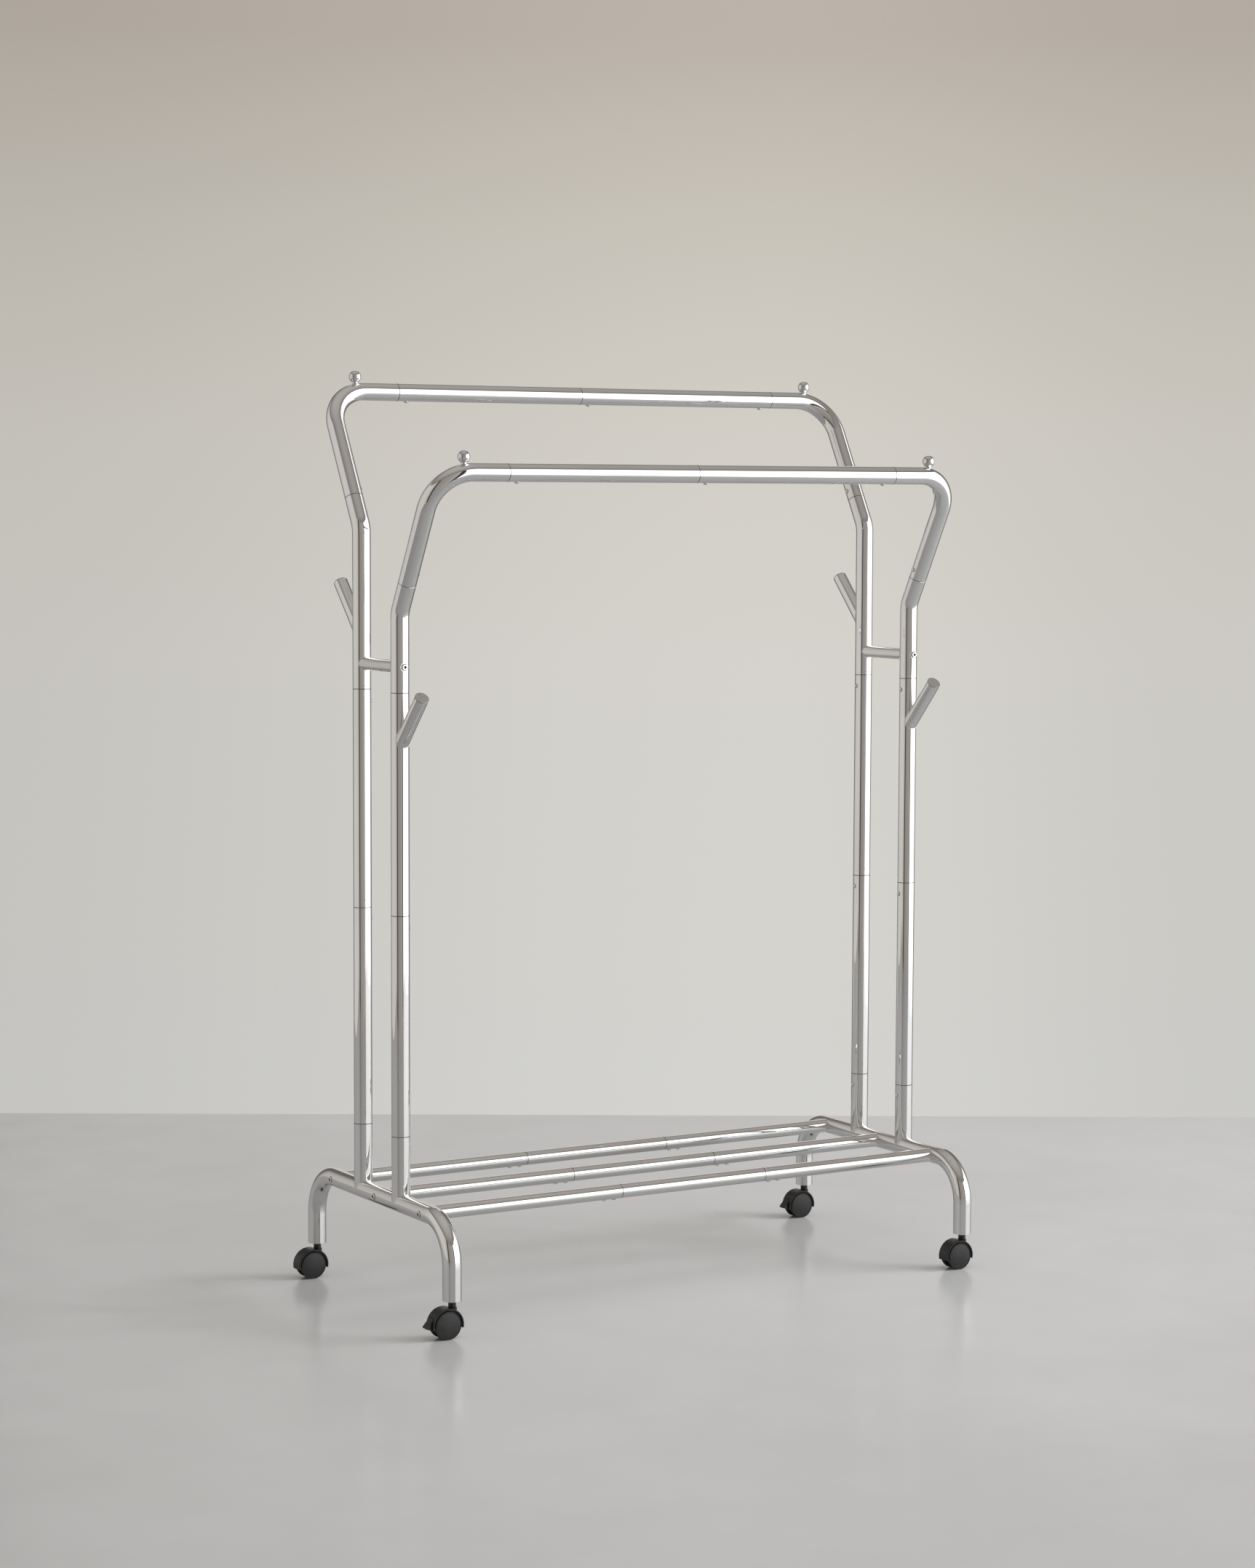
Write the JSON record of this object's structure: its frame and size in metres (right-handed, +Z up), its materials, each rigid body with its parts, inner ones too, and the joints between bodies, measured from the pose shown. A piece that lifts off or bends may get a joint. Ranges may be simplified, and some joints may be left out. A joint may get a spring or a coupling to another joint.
{
  "type": "rolling garment rack",
  "caption": "Wheeled tube rack with a lower front and a higher rear hanging rail, leaning coat pegs, a bar shelf near the floor and swivel twin-wheel casters.",
  "frame": {"origin": "on the floor, midway between the four posts", "axes": "+X along the hanging rails to the right, +Y from the lower front rail to the higher rear rail, +Z up"},
  "size_m": [1.1194, 0.5504, 1.6185],
  "materials": {
    "chrome_tube": "polished",
    "chrome_fastener": "polished",
    "satin_cap": "satin",
    "axle_steel": "plain",
    "caster_plastic": "satin, moulded",
    "wheel_plastic": "fine texture, moulded"
  },
  "bodies": {
    "frame": {"base_end_left": "chrome_tube", "base_end_right": "chrome_tube", "lower_post_front_left": "chrome_tube", "lower_post_front_right": "chrome_tube", "lower_post_rear_left": "chrome_tube", "lower_post_rear_right": "chrome_tube", "upper_post_front_left": "chrome_tube", "upper_post_front_right": "chrome_tube", "upper_post_rear_left": "chrome_tube", "upper_post_rear_right": "chrome_tube", "kinked_post_front_left": "chrome_tube", "kinked_post_front_right": "chrome_tube", "kinked_post_rear_left": "chrome_tube", "kinked_post_rear_right": "chrome_tube", "rail_corner_front_left": "chrome_tube", "rail_corner_front_right": "chrome_tube", "rail_corner_rear_left": "chrome_tube", "rail_corner_rear_right": "chrome_tube", "crossbar_left": "chrome_tube", "crossbar_right": "chrome_tube", "rail_tube_front_left": "chrome_tube", "rail_tube_front_right": "chrome_tube", "rail_tube_rear_left": "chrome_tube", "rail_tube_rear_right": "chrome_tube", "shelf_rail_front_left": "chrome_tube", "shelf_rail_front_centre": "chrome_tube", "shelf_rail_front_right": "chrome_tube", "shelf_rail_middle_left": "chrome_tube", "shelf_rail_middle_centre": "chrome_tube", "shelf_rail_middle_right": "chrome_tube", "shelf_rail_rear_left": "chrome_tube", "shelf_rail_rear_centre": "chrome_tube", "shelf_rail_rear_right": "chrome_tube", "coat_pegs": "chrome_tube", "peg_caps": "satin_cap", "ball_finials": "chrome_fastener", "frame_bolts": "chrome_fastener", "bolt_washers": "chrome_fastener", "joint_screws": "chrome_fastener", "caster_sockets": "caster_plastic", "caster_stems": "caster_plastic"},
    "caster_front_left": {"caster_hood_front_left": "caster_plastic", "caster_axle_front_left": "axle_steel"},
    "wheel_front_left_outer": {"wheel_front_left_outer": "wheel_plastic"},
    "wheel_front_left_inner": {"wheel_front_left_inner": "wheel_plastic"},
    "brake_lever_front_left": {"brake_lever_front_left": "caster_plastic"},
    "caster_front_right": {"caster_hood_front_right": "caster_plastic", "caster_axle_front_right": "axle_steel"},
    "wheel_front_right_outer": {"wheel_front_right_outer": "wheel_plastic"},
    "wheel_front_right_inner": {"wheel_front_right_inner": "wheel_plastic"},
    "caster_rear_left": {"caster_hood_rear_left": "caster_plastic", "caster_axle_rear_left": "axle_steel"},
    "wheel_rear_left_outer": {"wheel_rear_left_outer": "wheel_plastic"},
    "wheel_rear_left_inner": {"wheel_rear_left_inner": "wheel_plastic"},
    "caster_rear_right": {"caster_hood_rear_right": "caster_plastic", "caster_axle_rear_right": "axle_steel"},
    "wheel_rear_right_outer": {"wheel_rear_right_outer": "wheel_plastic"},
    "wheel_rear_right_inner": {"wheel_rear_right_inner": "wheel_plastic"},
    "brake_lever_rear_right": {"brake_lever_rear_right": "caster_plastic"}
  },
  "joints": [
    {"name": "swivel_front_left", "type": "hinge", "parent": "frame", "child": "caster_front_left", "pos_m": [-0.525, -0.259, 0.05], "axis": [0, 0, 1], "continuous": true},
    {"name": "spin_front_left_outer", "type": "hinge", "parent": "caster_front_left", "child": "wheel_front_left_outer", "pos_m": [-0.538, -0.2695, 0.024], "axis": [0, 1, 0], "continuous": true},
    {"name": "spin_front_left_inner", "type": "hinge", "parent": "caster_front_left", "child": "wheel_front_left_inner", "pos_m": [-0.538, -0.2485, 0.024], "axis": [0, 1, 0], "continuous": true},
    {"name": "brake_front_left", "type": "hinge", "parent": "caster_front_left", "child": "brake_lever_front_left", "pos_m": [-0.558, -0.259, 0.028], "axis": [0, -1, 0], "range_deg": [0, 12]},
    {"name": "swivel_front_right", "type": "hinge", "parent": "frame", "child": "caster_front_right", "pos_m": [0.525, -0.259, 0.05], "axis": [0, 0, 1], "continuous": true},
    {"name": "spin_front_right_outer", "type": "hinge", "parent": "caster_front_right", "child": "wheel_front_right_outer", "pos_m": [0.512, -0.2695, 0.024], "axis": [0, 1, 0], "continuous": true},
    {"name": "spin_front_right_inner", "type": "hinge", "parent": "caster_front_right", "child": "wheel_front_right_inner", "pos_m": [0.512, -0.2485, 0.024], "axis": [0, 1, 0], "continuous": true},
    {"name": "swivel_rear_left", "type": "hinge", "parent": "frame", "child": "caster_rear_left", "pos_m": [-0.525, 0.259, 0.05], "axis": [0, 0, 1], "continuous": true},
    {"name": "spin_rear_left_outer", "type": "hinge", "parent": "caster_rear_left", "child": "wheel_rear_left_outer", "pos_m": [-0.538, 0.2695, 0.024], "axis": [0, 1, 0], "continuous": true},
    {"name": "spin_rear_left_inner", "type": "hinge", "parent": "caster_rear_left", "child": "wheel_rear_left_inner", "pos_m": [-0.538, 0.2485, 0.024], "axis": [0, 1, 0], "continuous": true},
    {"name": "swivel_rear_right", "type": "hinge", "parent": "frame", "child": "caster_rear_right", "pos_m": [0.525, 0.259, 0.05], "axis": [0, 0, 1], "continuous": true},
    {"name": "spin_rear_right_outer", "type": "hinge", "parent": "caster_rear_right", "child": "wheel_rear_right_outer", "pos_m": [0.512, 0.2695, 0.024], "axis": [0, 1, 0], "continuous": true},
    {"name": "spin_rear_right_inner", "type": "hinge", "parent": "caster_rear_right", "child": "wheel_rear_right_inner", "pos_m": [0.512, 0.2485, 0.024], "axis": [0, 1, 0], "continuous": true},
    {"name": "brake_rear_right", "type": "hinge", "parent": "caster_rear_right", "child": "brake_lever_rear_right", "pos_m": [0.492, 0.259, 0.028], "axis": [0, -1, 0], "range_deg": [0, 12]}
  ]
}
